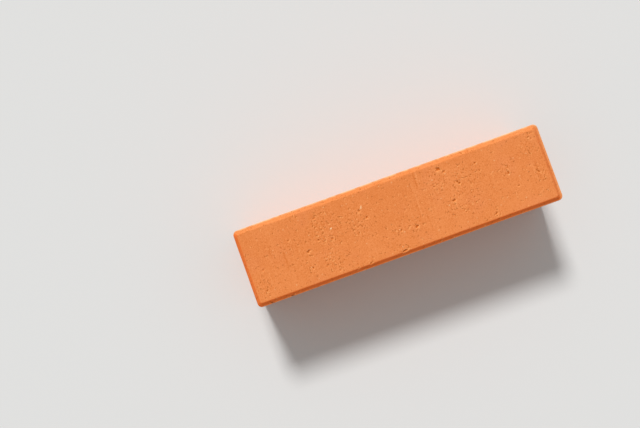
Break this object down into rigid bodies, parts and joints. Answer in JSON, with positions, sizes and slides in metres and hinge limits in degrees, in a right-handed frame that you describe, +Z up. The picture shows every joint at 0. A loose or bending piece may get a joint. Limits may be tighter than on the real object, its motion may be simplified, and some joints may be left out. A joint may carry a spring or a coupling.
{
  "type": "clay brick",
  "caption": "Solid fired-clay paving brick: a plain block with a bevelled wearing face, a narrow land at the bevel's foot, rounded upright corners and a flat bed.",
  "frame": {"origin": "middle of the flat bed face that the brick stands on", "axes": "+X along the brick's length, +Y across the width of the wearing face, +Z up, out of the wearing face"},
  "size_m": [0.2, 0.05, 0.065],
  "materials": {
    "fired_clay": "matt unglazed orange clay, fine sandy grain with small pits and pale grains"
  },
  "bodies": {
    "root": {"brick": "fired_clay"}
  },
  "joints": []
}
